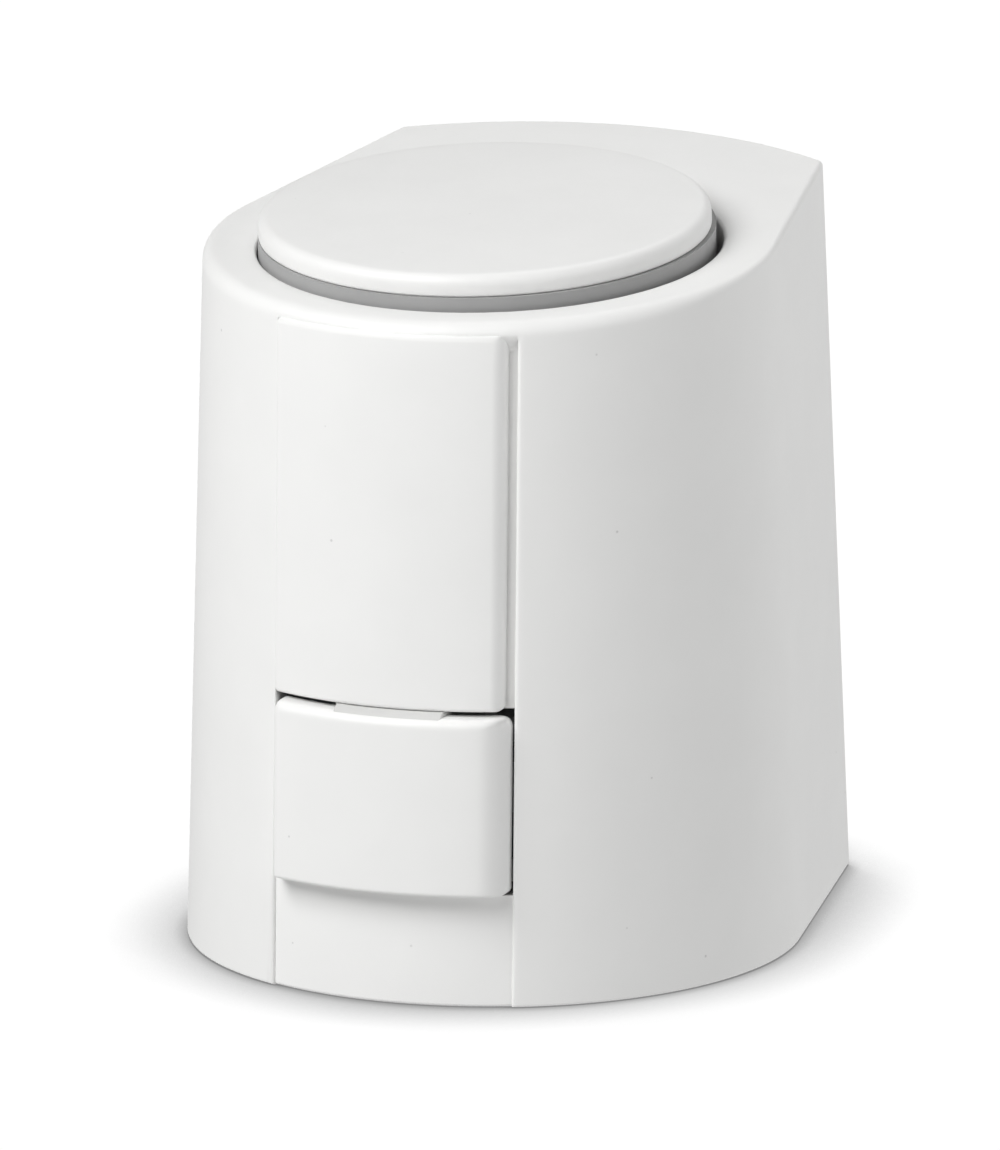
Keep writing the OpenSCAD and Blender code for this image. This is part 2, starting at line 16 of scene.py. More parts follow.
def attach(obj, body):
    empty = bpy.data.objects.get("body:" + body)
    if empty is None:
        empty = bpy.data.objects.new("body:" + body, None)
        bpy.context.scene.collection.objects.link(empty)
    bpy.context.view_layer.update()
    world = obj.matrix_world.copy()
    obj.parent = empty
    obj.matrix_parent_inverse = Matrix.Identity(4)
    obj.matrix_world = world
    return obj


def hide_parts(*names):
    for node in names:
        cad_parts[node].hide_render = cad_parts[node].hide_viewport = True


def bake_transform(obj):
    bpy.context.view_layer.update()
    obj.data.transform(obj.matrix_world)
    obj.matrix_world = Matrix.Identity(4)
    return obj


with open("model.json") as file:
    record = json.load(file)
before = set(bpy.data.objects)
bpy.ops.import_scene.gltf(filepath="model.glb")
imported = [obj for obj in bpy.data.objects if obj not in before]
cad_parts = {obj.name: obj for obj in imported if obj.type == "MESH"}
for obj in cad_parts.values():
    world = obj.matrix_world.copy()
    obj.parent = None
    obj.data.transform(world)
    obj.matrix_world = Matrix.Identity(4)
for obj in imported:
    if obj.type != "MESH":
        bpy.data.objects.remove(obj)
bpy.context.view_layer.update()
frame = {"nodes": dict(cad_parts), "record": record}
MM = 0.001

# ---------------------------------------------------------------- camera
VIEW_AZIMUTH, VIEW_ELEVATION, VIEW_ROLL = 21.0, 14.19, -0.397  # degrees
CAMERA_DISTANCE, CLIP_END = 2.0, 20  # metres
CAMERA_LENS, SENSOR_WIDTH = 1006.5, 36
AIM_HEIGHT = 27.0
AIM_RIGHT, AIM_DOWN = 0.758, 0.658  # where the middle of the picture lies from the aim


def direction(azimuth, elevation):
    """Unit vector at an azimuth, from the front towards +X, and an elevation, in degrees."""
    a, e = math.radians(azimuth), math.radians(elevation)
    return Vector((math.sin(a) * math.cos(e), -math.cos(a) * math.cos(e), math.sin(e)))


def add_camera():
    """A long lens at the photograph's viewing angle."""
    azimuth, roll = math.radians(VIEW_AZIMUTH), math.radians(VIEW_ROLL)
    back = direction(VIEW_AZIMUTH, VIEW_ELEVATION)
    level = Vector((math.cos(azimuth), math.sin(azimuth), 0))
    rise = back.cross(level)
    right = level * math.cos(roll) + rise * math.sin(roll)
    up = rise * math.cos(roll) - level * math.sin(roll)
    aim = (Vector((0, 0, AIM_HEIGHT)) + right * AIM_RIGHT - up * AIM_DOWN) * MM
    place = Matrix((right, up, back)).transposed().to_4x4()
    place.translation = aim + back * CAMERA_DISTANCE
    data = bpy.data.cameras.new("camera")
    data.sensor_fit = "HORIZONTAL"
    data.sensor_width = SENSOR_WIDTH
    data.lens = CAMERA_LENS
    data.clip_end = CLIP_END
    camera = bpy.data.objects.new("camera", data)
    camera.matrix_world = place
    bpy.context.scene.collection.objects.link(camera)
    bpy.context.scene.camera = camera


add_camera()

# ---------------------------------------------------------------- measures, in millimetres
# They are the CAD part's own, except that cap, sleeve, hole, rim, slot, strip, button and foot
# follow the photograph by tenths of a millimetre.
FRONT_R, FRONT_Y = 22.15, 0.8  # round front: radius at the foot and place of its centre
REAR_R = 31.6  # round rear, about the stem axis
SIDE = math.radians(10.8)  # the flat sides close in towards the rear
DRAFT = 0.031  # the radii shrink this much per millimetre of height
TOP_Z, SLOPE = 50.8, math.radians(3.8)  # sloping top: height on the stem axis
WALL, TOP_SKIN = 1.9, 2.2
RIM_FRONT, RIM_REAR, CORNER_R = 1.0, 0.4, 0.5

SLOT_LEFT, SLOT_RIGHT = -9.1, 9.0
LEAN_LOW, LEAN_RISE = -0.16, 0.0032  # sideways drift of the slot: at the foot, and per millimetre
BED_DEPTH, BED_LOW = 0.8, 21.6  # bed of the slot behind the strip
BED_RUN_OUT = (47.4, 48.8)  # heights between which the bed rises to the surface
WINDOW_TOP, WINDOW_HALF = 24.8, 8.2  # window behind the strip's lower end
STRIP_LEFT, STRIP_RIGHT, STRIP_LOW, STRIP_TOP = -9.12, 8.27, 21.54, 48.75
STRIP_PROUD = 0.25
BUTTON_LEFT, BUTTON_RIGHT, BUTTON_LOW, BUTTON_TOP = -8.93, 8.8, 8.26, 21.15
BUTTON_PROUD, BUTTON_SKIN = 1.3, 0.6
TAB_LEFT, TAB_RIGHT, TAB_LOW, TAB_TOP = -3.75, 4.35, 20.3, 21.5
TAB_PROUD_TOP, TAB_PROUD, TAB_SLOPE_Z = 0.2, 1.12, 0.58
FOOT_TOP, FOOT_RECESS = 8.1, 0.3

HOLE_R, HOLE_CENTRE, HOLE_LOW = 16.7, (0.21, 0.09), 43.2
CAP_R, CAP_T, CAP_LIFT = 16.2, 1.6, 1.0
CAP_SLOPE, CAP_CENTRE = math.radians(4.28), (-0.13, -0.05)
SLEEVE_R, SLEEVE_WALL, SLEEVE_LOW = 16.35, 1.3, 46.0
TUBE_TOP = 47.0  # top of the lifter's tube, which the cap's post stands on

SOCKET_X, SOCKET_LOW, SOCKET_HIGH = 6.5, 3.5, 12.5  # cable socket's window in the rear
FLANGE_TOP, PLATE_Z = 26.3, 41.0  # the closing spring stands between them
SPRING_R, SPRING_WIRE, SPRING_TURNS = 12.4, 1.7, 5
LATCH_X, LATCH_Z, LATCH_Y = 9.4, 9.4, (18.3, 23.6)
LATCH_R, LATCH_WIRE, LATCH_TURNS = 1.45, 0.45, 7
THREAD_R, THREAD_LEN, THREAD_PITCH, THREAD_DEPTH = 14.19, 7.2, 1.5, 0.75
ADAPTER_R, ADAPTER_H = 16.4, 13.0
GROOVE_Z, GROOVE_H, GROOVE_DEPTH = 8.3, 2.2, 1.2
SEAL_R, SEAL_T, NECK_R = 14.5, 1.2, 11.2


def front_radius(z):
    """Radius of the round front at a height."""
    return FRONT_R - DRAFT * z


def rear_radius(z):
    """Radius of the round rear at a height."""
    return REAR_R - DRAFT * z


def plane_z(y):
    """Height of the sloping top face at y."""
    return TOP_Z + math.tan(SLOPE) * y


def cap_z(y):
    """Height of the underside of the indicator cap at y."""
    return TOP_Z + CAP_LIFT + math.tan(CAP_SLOPE) * y


def lean(z):
    """Sideways drift of the slot and its panels at a height."""
    return LEAN_LOW + LEAN_RISE * z


def smooth(k):
    """Eases from 0 to 1 as k does."""
    k = min(1.0, max(0.0, k))
    return k * k * (3 - 2 * k)


# ---------------------------------------------------------------- materials
CONTRAST = (0.3, 0.7)  # the part of a noise's range that is spread from one tone to the other


class Graph:
    """A material's nodes, with a Principled shader at the end."""

    def __init__(self, name):
        self.material = bpy.data.materials.new(name)
        self.material.use_nodes = True
        self.tree = self.material.node_tree
        self.tree.nodes.clear()
        out = self.tree.nodes.new("ShaderNodeOutputMaterial")
        self.shader = self.tree.nodes.new("ShaderNodeBsdfPrincipled")
        self.link(self.shader.outputs["BSDF"], out.inputs["Surface"])
        self.place = self.tree.nodes.new("ShaderNodeTexCoord").outputs["Object"]

    def link(self, a, b):
        self.tree.links.new(a, b)

    def stretched(self, scale):
        node = self.tree.nodes.new("ShaderNodeMapping")
        node.inputs["Scale"].default_value = scale
        self.link(self.place, node.inputs["Vector"])
        return node.outputs["Vector"]

    def noise(self, size_mm, detail=2.0, where=None, rough=0.5):
        """Noise with features about size_mm across."""
        node = self.tree.nodes.new("ShaderNodeTexNoise")
        node.inputs["Scale"].default_value = 1 / (size_mm * MM)
        node.inputs["Detail"].default_value = detail
        node.inputs["Roughness"].default_value = rough
        self.link(where or self.place, node.inputs["Vector"])
        return node.outputs["Fac"]

    def ramp(self, value, low, high, a, b):
        """Colours or greys from a to b as value goes from low to high."""
        node = self.tree.nodes.new("ShaderNodeValToRGB")
        node.color_ramp.elements[0].position = low
        node.color_ramp.elements[1].position = high
        node.color_ramp.elements[0].color = (*a, 1)
        node.color_ramp.elements[1].color = (*b, 1)
        self.link(value, node.inputs["Fac"])
        return node.outputs["Color"]

    def mix(self, factor, a, b):
        node = self.tree.nodes.new("ShaderNodeMix")
        node.data_type = "RGBA"
        self.link(factor, node.inputs["Factor"])
        for socket, value in ((node.inputs["A"], a), (node.inputs["B"], b)):
            if isinstance(value, tuple):
                socket.default_value = (*value, 1)
            else:
                self.link(value, socket)
        return node.outputs["Result"]

    def bump(self, value, depth_mm, strength=1.0):
        node = self.tree.nodes.new("ShaderNodeBump")
        node.inputs["Distance"].default_value = depth_mm * MM
        node.inputs["Strength"].default_value = strength
        self.link(value, node.inputs["Height"])
        self.link(node.outputs["Normal"], self.shader.inputs["Normal"])

    def colour(self, socket):
        self.link(socket, self.shader.inputs["Base Color"])

    def roughness(self, value, low, high):
        tone = self.ramp(value, *CONTRAST, (low,) * 3, (high,) * 3)
        self.link(tone, self.shader.inputs["Roughness"])


def shade(colour, factor):
    return tuple(min(1.0, c * factor) for c in colour)


FLECK_SPACING, FLECK_TONE = 2.6, 0.55
FLECK_SIZE = (0.030, 0.045)  # as parts of the spacing: fully dark, and no longer dark
FLECK_PATCHES, FLECK_SHARE = 3.5, (0.55, 0.60)  # the flecks come in patches of this size
PLASTIC_IOR = 1.5


def moulded(name, colour, rough=0.5, grain=0.16, depth=0.004, cloud=0.012, fleck=0.0):
    """Moulded plastic with a fine grain, a faint cloudiness and, where asked, a few dark flecks."""
    g = Graph(name)
    clouds = g.ramp(g.noise(7, 3), *CONTRAST, shade(colour, 1 - cloud), shade(colour, 1 + cloud))
    if fleck:
        specks = g.tree.nodes.new("ShaderNodeTexVoronoi")
        specks.inputs["Scale"].default_value = 1 / (FLECK_SPACING * MM)
        specks.inputs["Randomness"].default_value = 1.0
        g.link(g.place, specks.inputs["Vector"])
        near = g.ramp(specks.outputs["Distance"], *FLECK_SIZE, (1, 1, 1), (0, 0, 0))
        some = g.ramp(g.noise(FLECK_PATCHES, 0), *FLECK_SHARE, (0, 0, 0), (fleck,) * 3)
        both = g.tree.nodes.new("ShaderNodeMath")
        both.operation = "MULTIPLY"
        g.link(near, both.inputs[0])
        g.link(some, both.inputs[1])
        clouds = g.mix(both.outputs["Value"], clouds, shade(colour, FLECK_TONE))
    g.colour(clouds)
    g.roughness(g.noise(0.5, 2), rough - 0.05, rough + 0.06)
    g.shader.inputs["IOR"].default_value = PLASTIC_IOR
    g.bump(g.noise(grain, 3, rough=0.6), depth)
    return g.material


def metal(name, colour, rough=0.3, along=(1, 1, 1), grain=0.25, depth=0.003):
    """Metal with fine drawing or turning marks, stretched along the axes where along is small."""
    g = Graph(name)
    marks = g.noise(grain, 3, g.stretched(along))
    g.colour(g.ramp(g.noise(2.5, 3), *CONTRAST, shade(colour, 0.9), shade(colour, 1.06)))
    g.roughness(marks, rough - 0.07, rough + 0.1)
    g.shader.inputs["Metallic"].default_value = 1.0
    g.bump(marks, depth)
    return g.material


def rubber(name, colour):
    """Matt rubber with slightly worn tones."""
    g = Graph(name)
    g.colour(g.ramp(g.noise(1.2, 3), *CONTRAST, shade(colour, 0.8), shade(colour, 1.4)))
    g.roughness(g.noise(0.4, 2), 0.62, 0.8)
    g.bump(g.noise(0.12, 2), 0.004)
    return g.material


def board(name, colour):
    """Solder resist with copper tracks that show through as lighter lines."""
    g = Graph(name)
    tracks = g.tree.nodes.new("ShaderNodeTexWave")
    tracks.bands_direction = "Z"
    tracks.inputs["Scale"].default_value = 1 / (7 * MM)
    tracks.inputs["Distortion"].default_value = 6.0
    tracks.inputs["Detail"].default_value = 0.0
    g.link(g.place, tracks.inputs["Vector"])
    g.colour(g.ramp(tracks.outputs["Fac"], 0.62, 0.68, colour, shade(colour, 1.7)))
    g.roughness(g.noise(1.0, 2), 0.28, 0.4)
    g.bump(tracks.outputs["Fac"], 0.02)
    return g.material


def finishes(record):
    """One material for each material slot of the record."""
    white = (moulded, {"fleck": 0.5})
    filled_nylon = (moulded, {"rough": 0.56, "grain": 0.3, "depth": 0.008, "cloud": 0.06})
    coated = (moulded, {"rough": 0.25, "grain": 0.8, "depth": 0.01, "cloud": 0.04})
    sheet = (metal, {"rough": 0.34, "along": (0.12, 1, 1)})
    polished = (metal, {"rough": 0.2})
    soft = (rubber, {})
    plain = (moulded, {"cloud": 0.03})
    recipes = {
        "shell_white": white,
        "trim_white": white,
        "cap_white": (moulded, {"rough": 0.46, "depth": 0.003, "fleck": 0.4}),
        "frame_grey": filled_nylon,
        "lifter_grey": filled_nylon,
        "adapter_dark": filled_nylon,
        "jacket_ivory": (moulded, {"rough": 0.75, "grain": 0.4, "depth": 0.02, "cloud": 0.06}),
        "varistor_blue": coated,
        "capacitor_yellow": coated,
        "spring_steel": (metal, {"rough": 0.3, "along": (1, 1, 0.2)}),
        "plate_steel": sheet,
        "contact_brass": sheet,
        "cartridge_brass": (metal, {"rough": 0.26, "along": (0.15, 0.15, 1), "depth": 0.006}),
        "screw_steel": polished,
        "piston_steel": polished,
        "fuse_metal": polished,
        "seal_rubber": soft,
        "lead_red": soft,
        "lead_brown": soft,
        "board_green": (board, {}),
    }
    made = {}
    for material in record["materials"]:
        slot, colour = material["slot"], tuple(material["base_color"][:3])
        maker, settings = recipes.get(slot, plain)
        made[slot] = maker(slot, colour, **settings)
    return made


FINISH = finishes(frame["record"])
SLOT_OF = {s["node"]: s["material_slot"] for s in frame["record"]["subparts"]}


# ---------------------------------------------------------------- mesh helpers
def make_piece(name, points, faces, body, nodes, slot=None, sharp=35, normals=True):
    """A closed mesh in millimetres that rides on a body and stands for CAD nodes."""
    mesh = bpy.data.meshes.new(name)
    mesh.from_pydata([tuple(c * MM for c in p) for p in points], [], faces)
    bm = bmesh.new()
    bm.from_mesh(mesh)
    bmesh.ops.recalc_face_normals(bm, faces=bm.faces)
    bm.to_mesh(mesh)
    bm.free()
    mesh.shade_smooth()
    mesh.set_sharp_from_angle(angle=math.radians(sharp))
    piece = bpy.data.objects.new(name, mesh)
    bpy.context.scene.collection.objects.link(piece)
    if normals:
        weighted = piece.modifiers.new("weighted normals", "WEIGHTED_NORMAL")
        weighted.keep_sharp = True
    slot = slot or SLOT_OF[nodes[0]]
    mesh.materials.append(FINISH[slot])
    if nodes:
        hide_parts(*nodes)
    if body:
        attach(piece, body)
    return piece


def ring_faces(rows, columns, close_rows=True, skip=()):
    """Quads of a grid that closes across its columns, without the (row, column) pairs in skip."""
    last = rows if close_rows else rows - 1
    return [
        (
            i * columns + j,
            i * columns + (j + 1) % columns,
            (i + 1) % rows * columns + (j + 1) % columns,
            (i + 1) % rows * columns + j,
        )
        for i in range(last)
        for j in range(columns)
        if (i, j) not in skip
    ]


def turns(segments):
    """Angles of a full turn."""
    return [2 * math.pi * j / segments for j in range(segments)]


def fan(points, first, segments, centre):
    """Triangles from a ring that starts at first to a new point at its centre."""
    points.append(centre)
    return [(len(points) - 1, first + j, first + (j + 1) % segments) for j in range(segments)]


def arc(cx, cz, r, start, end, steps):
    """Points of an arc in a profile, angles in degrees from +r towards +z."""
    return [
        (cx + r * math.cos(math.radians(start + (end - start) * k / steps)),
         cz + r * math.sin(math.radians(start + (end - start) * k / steps)))
        for k in range(steps + 1)
    ]


def join(*parts):
    """Several (points, faces) pairs as one."""
    points, faces = [], []
    for p, f in parts:
        base = len(points)
        points += p
        faces += [tuple(v + base for v in face) for face in f]
    return points, faces


def tube(route, radius, sides=14):
    """A round tube along a route of points, closed at both ends."""
    route = [Vector(p) for p in route]
    points, faces = [], []
    last = len(route) - 1
    side = None
    for i, p in enumerate(route):
        along = (route[min(i + 1, last)] - route[max(i - 1, 0)]).normalized()
        side = along.orthogonal() if side is None else side - along * side.dot(along)
        side.normalize()
        across = along.cross(side)
        for t in turns(sides):
            points.append(tuple(p + radius * (math.cos(t) * side + math.sin(t) * across)))
    faces = ring_faces(len(route), sides, close_rows=False)
    faces.append(tuple(range(sides)))
    faces.append(tuple(last * sides + k for k in range(sides - 1, -1, -1)))
    return points, faces


def coil_route(radius, wire, height, coils, steps):
    """Centre line of a helical spring that stands on z = 0, with its end coils closed."""
    closed = 0.75  # this much of a coil lies flat at each end
    rise = height - 3 * wire
    route = []
    for i in range(coils * steps + 1):
        n = i / steps
        if n < closed:
            z = wire * n / closed
        elif n > coils - closed:
            z = height - wire - wire * (coils - n) / closed
        else:
            z = wire + rise * (n - closed) / (coils - 2 * closed)
        t = 2 * math.pi * n
        route.append((radius * math.cos(t), radius * math.sin(t), wire / 2 + z))
    return route


# ---------------------------------------------------------------- housing
def corner_centre(z, inset):
    """Centre of the right rear corner's rounding."""
    r, q = front_radius(z) - inset - CORNER_R, rear_radius(z) - inset - CORNER_R
    px, py = r * math.cos(SIDE), FRONT_Y + r * math.sin(SIDE)
    b = FRONT_Y * math.cos(SIDE)
    s = math.sqrt(b * b - px * px - py * py + q * q) - b
    return px - s * math.sin(SIDE), py + s * math.cos(SIDE)


EDGE_R = 0.4  # rounding of the slot's edges
EDGE_R_LEFT_TOP = 0.12  # and of its left edge where the strip lies against it
FLAT_X = 9.9  # where the columns change from a fixed x to an angle
LAST_FLAT_X = 9.65
WALL_X = 0.05  # the slot's side walls lean this much
EDGE_STEPS, ARC_COLUMNS, SIDE_COLUMNS, CORNER_COLUMNS, REAR_COLUMNS = 5, 34, 8, 6, 10
WINDOW_EDGE = WINDOW_HALF / SLOT_RIGHT  # the window's side, as a part of the slot's half width
BED_COLUMNS = (0, 0.18, 0.36, 0.54, 0.72, WINDOW_EDGE, 0.95, 0.98)
WALL_COLUMNS = (1.0, 0.85)  # 1 is the foot of the slot's side wall
BACK_COLUMNS = (SOCKET_X, 4.3, 2.1, 0)


def half_columns():
    """Columns of one half of the housing from the middle of the front to the middle of the rear."""
    columns = [("bed", k) for k in BED_COLUMNS] + [("wall", k) for k in WALL_COLUMNS]
    columns += [("edge", k / EDGE_STEPS) for k in range(EDGE_STEPS + 1)]
    columns += [("front", LAST_FLAT_X)]
    columns += [("arc", k / ARC_COLUMNS) for k in range(ARC_COLUMNS + 1)]
    columns += [("side", k / SIDE_COLUMNS) for k in range(1, SIDE_COLUMNS)]
    columns += [("corner", k / CORNER_COLUMNS) for k in range(CORNER_COLUMNS + 1)]
    columns += [("rear", k / REAR_COLUMNS) for k in range(1, REAR_COLUMNS)]
    columns += [("back", x) for x in BACK_COLUMNS]
    return columns


def edge_radius(side, z):
    """Rounding of a slot edge: small where the strip lies against the left edge."""
    if side > 0:
        return EDGE_R
    up = smooth((z - BUTTON_LOW) / (STRIP_LOW - BUTTON_LOW))
    return EDGE_R + (EDGE_R_LEFT_TOP - EDGE_R) * up


def column_point(column, side, z, inset):
    """Plan position of a column at a height; side is 1 on the right and -1 on the left."""
    kind, value = column
    slot = SLOT_RIGHT if side > 0 else -SLOT_LEFT
    run_low, run_high = BED_RUN_OUT
    deep = BED_DEPTH * (1 - smooth((z - run_low) / (run_high - run_low)))
    round_r = edge_radius(side, z)
    depth = 0.0
    if kind == "bed":
        x, depth = slot * value, deep
    elif kind == "wall":
        x, depth = slot - WALL_X * value, min(deep, round_r + (BED_DEPTH - round_r) * value)
    elif kind == "edge":
        t = math.pi / 2 * value
        x, depth = slot + round_r * (1 - math.cos(t)), min(deep, round_r * (1 - math.sin(t)))
    elif kind == "front":
        x = value
    inset = max(inset, depth)
    r, q = front_radius(z) - inset, rear_radius(z) - inset
    if kind in ("bed", "wall", "edge", "front"):
        x = side * x + lean(z)
        return x, FRONT_Y - math.sqrt(r * r - x * x)
    if kind == "arc":
        first = math.asin(FLAT_X / r)
        t = first + value * (math.pi / 2 + SIDE - first)
        return side * r * math.sin(t), FRONT_Y - r * math.cos(t)
    if kind == "back":
        return side * value, math.sqrt(q * q - value * value)
    cx, cy = corner_centre(z, inset)
    turn = math.atan2(cy, cx)
    if kind == "side":
        x0, y0 = r * math.cos(SIDE), FRONT_Y + r * math.sin(SIDE)
        x1, y1 = cx + CORNER_R * math.cos(SIDE), cy + CORNER_R * math.sin(SIDE)
        return side * (x0 + value * (x1 - x0)), y0 + value * (y1 - y0)
    if kind == "corner":
        t = SIDE + value * (turn - SIDE)
        return side * (cx + CORNER_R * math.cos(t)), cy + CORNER_R * math.sin(t)
    last = math.acos(SOCKET_X / q)
    t = turn + value * (last - turn)
    return side * q * math.cos(t), q * math.sin(t)


RIM_FADE_START, RIM_FADE = 0.35, 0.55  # where along the arc the rim turns from wide to tight


def rim_radius(column):
    """Rounding of the top edge: wide at the front, tight along the sides and the rear."""
    kind, value = column
    if kind in ("side", "corner", "rear", "back"):
        return RIM_REAR
    if kind == "arc":
        return RIM_FRONT + (RIM_REAR - RIM_FRONT) * smooth((value - RIM_FADE_START) / RIM_FADE)
    return RIM_FRONT


FOOT_ROWS = [(0, 0.22), (0.07, 0.07), (0.22, 0)]  # height and inset of the foot's rounding
LOW_Z = [SOCKET_LOW, 8, SOCKET_HIGH, 18, BED_LOW, WINDOW_TOP]
HIGH_STEPS = (0.25, 0.5, 0.75, 0.95, 0.97, 0.985, 1)  # from the window's top to the rim
INNER_STEPS = (0.66, 0.33)  # the same on the inside, downwards
TOP_STEPS = (0.15, 0.5, 0.85)  # from the rim to the hole
RIM_STEPS, HOLE_EDGE_STEPS = 7, 4
HOLE_EDGE_R, HOLE_COLLAR = 0.25, 0.8  # rounding of the hole's edge and thickness of its collar


def housing_rows(column, side):
    """The loop of points of one column: up the outside, over the top, down the hole and inside."""
    def at(z, inset):
        x, y = column_point(column, side, z, inset)
        return x, y, z

    def under_top(drop, inset):
        """Point below the sloping top, whose height and place settle in a few rounds."""
        z = TOP_Z
        for _ in range(3):
            z = plane_z(column_point(column, side, z, inset)[1]) - drop
        return at(z, inset)

    rim = rim_radius(column)
    rows = [at(z, inset) for z, inset in FOOT_ROWS]
    rows += [at(z, 0) for z in LOW_Z]
    rim_z = under_top(rim, 0)[2]
    rows += [at(WINDOW_TOP + k * (rim_z - WINDOW_TOP), 0) for k in HIGH_STEPS]
    for step in range(1, RIM_STEPS + 1):
        t = math.pi / 2 * step / RIM_STEPS
        rows.append(under_top(rim * (1 - math.sin(t)), rim * (1 - math.cos(t))))
    cx, cy = HOLE_CENTRE
    x1, y1 = rows[-1][0] - cx, rows[-1][1] - cy
    reach = math.hypot(x1, y1)
    ux, uy = x1 / reach, y1 / reach

    def round_hole(r, z=None, drop=0.0):
        """Point at a radius about the hole, at z or else below the top."""
        x, y = cx + ux * r, cy + uy * r
        return x, y, plane_z(y) - drop if z is None else z

    rows += [round_hole(reach + k * (HOLE_R + HOLE_EDGE_R - reach)) for k in TOP_STEPS]
    for step in range(HOLE_EDGE_STEPS + 1):
        t = math.pi / 2 * step / HOLE_EDGE_STEPS
        out, drop = HOLE_EDGE_R * (1 - math.sin(t)), HOLE_EDGE_R * (1 - math.cos(t))
        rows.append(round_hole(HOLE_R + out, drop=drop))
    collar_r = HOLE_R + HOLE_COLLAR
    rows += [round_hole(HOLE_R, HOLE_LOW), round_hole(collar_r, HOLE_LOW)]
    rows += [round_hole(collar_r, drop=TOP_SKIN), under_top(TOP_SKIN, WALL)]
    top_in = rows[-1][2]
    rows += [at(WINDOW_TOP + k * (top_in - WINDOW_TOP), WALL) for k in INNER_STEPS]
    rows += [at(z, WALL) for z in reversed(LOW_Z)]
    rows += [at(FOOT_ROWS[-1][0], WALL), at(0, WALL)]
    return rows


def build_housing():
    """The shell, with windows for the front parts and for the cable socket."""
    half = half_columns()
    columns = [housing_rows(c, 1) for c in half] + [housing_rows(c, -1) for c in half[-2:0:-1]]
    n_rows, n_columns = len(columns[0]), len(columns)
    points = [columns[j][i] for i in range(n_rows) for j in range(n_columns)]
    gone, cut = set(), []

    def outside(z):
        """Row of a height on the outside."""
        return len(FOOT_ROWS) + LOW_Z.index(z)

    def inside(z):
        """Row of a height on the inside, where two more rows lie below the lowest."""
        return n_rows - 3 - LOW_Z.index(z)

    def v(i, j):
        return i * n_columns + j % n_columns

    def bridge(a, b, j):
        """Face through the wall between an outer and an inner row."""
        return v(a, j), v(a, j + 1), v(b, j + 1), v(b, j)

    def opening(low, high, window):
        """Leaves out columns and adds the faces of the cut; without low it is open downwards."""
        to_foot = low is None
        a, b = (0 if to_foot else outside(low)), outside(high)
        c, d = inside(high), (n_rows - 1 if to_foot else inside(low))
        gone.update((i, j % n_columns) for i in [*range(a, b), *range(c, d)] for j in window)
        if to_foot:
            gone.update((n_rows - 1, j % n_columns) for j in window)
        first, last = (outside(LOW_Z[0]), inside(LOW_Z[0])) if to_foot else (a, d)
        for j in (window[0], window[-1] + 1):
            for k in range(b - first):
                outer, inner = first + k, last - k
                cut.append((v(outer, j), v(outer + 1, j), v(inner - 1, j), v(inner, j)))
            if to_foot:
                foot = [*range(first, -1, -1), *range(n_rows - 1, last - 1, -1)]
                cut.append(tuple(v(i, j) for i in foot))
        for j in window:
            cut.append(bridge(b, c, j))
            if not to_foot:
                cut.append(bridge(a, d, j))

    wall = half.index(("wall", WALL_COLUMNS[0]))
    inner = half.index(("bed", WINDOW_EDGE))
    back = half.index(("back", SOCKET_X))
    opening(None, BED_LOW, range(-wall, wall))
    opening(BED_LOW, WINDOW_TOP, range(-inner, inner))
    opening(SOCKET_LOW, SOCKET_HIGH, range(back, n_columns - back))
    # The two front windows meet, so the faces between them are left out.
    shared = {bridge(outside(BED_LOW), inside(BED_LOW), j) for j in range(-inner, inner)}
    faces = ring_faces(n_rows, n_columns, skip=gone) + [f for f in cut if f not in shared]
    return make_piece("housing_shell", points, faces, "housing_body", ["housing"])


# ---------------------------------------------------------------- curved panels on the front
ZONE = (0, 0.03, 0.1, 0.2, 0.33, 0.5, 0.72, 1)  # grid lines across a rounded edge
ACROSS_STEP = 0.9  # between a panel's grid lines, from side to side


def lines(low, high, zone_low, zone_high, step):
    """Grid lines from low to high, close together in the rounded zones at both ends."""
    a = [low + zone_low * k for k in ZONE]
    b = [high - zone_high * k for k in reversed(ZONE)]
    n = max(2, round((b[0] - a[-1]) / step))
    return a + [a[-1] + (b[0] - a[-1]) * k / n for k in range(1, n)] + b


def fall(distance, zone, depth):
    """How far a rounded edge has dropped at a distance from the edge."""
    k = min(1.0, max(0.0, distance / zone))
    return depth * (1 - math.sqrt(max(0.0, 1 - (1 - k) ** 2)))


def edge_drop(x, z, box, edges):
    """How far the rounded edges of a box have dropped; each edge has a width and a depth."""
    left, right, low, high = box
    drops = [fall(d, *edge) for d, edge in zip((x - left, right - x, z - low, high - z), edges)]
    return math.hypot(drops[0] + drops[1], drops[2] + drops[3])


def on_front(x, z, proud):
    """Point on the round front, or proud of it."""
    r = front_radius(z) + proud
    x += lean(z)
    return x, FRONT_Y - math.sqrt(r * r - x * x), z


def panel(xs, zs, shape, back):
    """A closed panel on the round front.

    shape gives x, z and the height above the housing, and back is the depth of its rear.
    """
    nx, nz = len(xs), len(zs)
    outer = [shape(x, z) for z in zs for x in xs]
    points = [on_front(*p) for p in outer] + [on_front(x, z, -back) for x, z, _ in outer]
    faces = []
    for i in range(nz - 1):
        for j in range(nx - 1):
            quad = (i * nx + j, i * nx + j + 1, (i + 1) * nx + j + 1, (i + 1) * nx + j)
            faces.append(quad)
            faces.append(tuple(v + nx * nz for v in reversed(quad)))
    rim = [*range(nx)] + [i * nx + nx - 1 for i in range(1, nz)]
    rim += [(nz - 1) * nx + j for j in range(nx - 2, -1, -1)]
    rim += [i * nx for i in range(nz - 2, 0, -1)]
    for k, v in enumerate(rim):
        w = rim[(k + 1) % len(rim)]
        faces.append((v, w, w + nx * nz, v + nx * nz))
    return points, faces


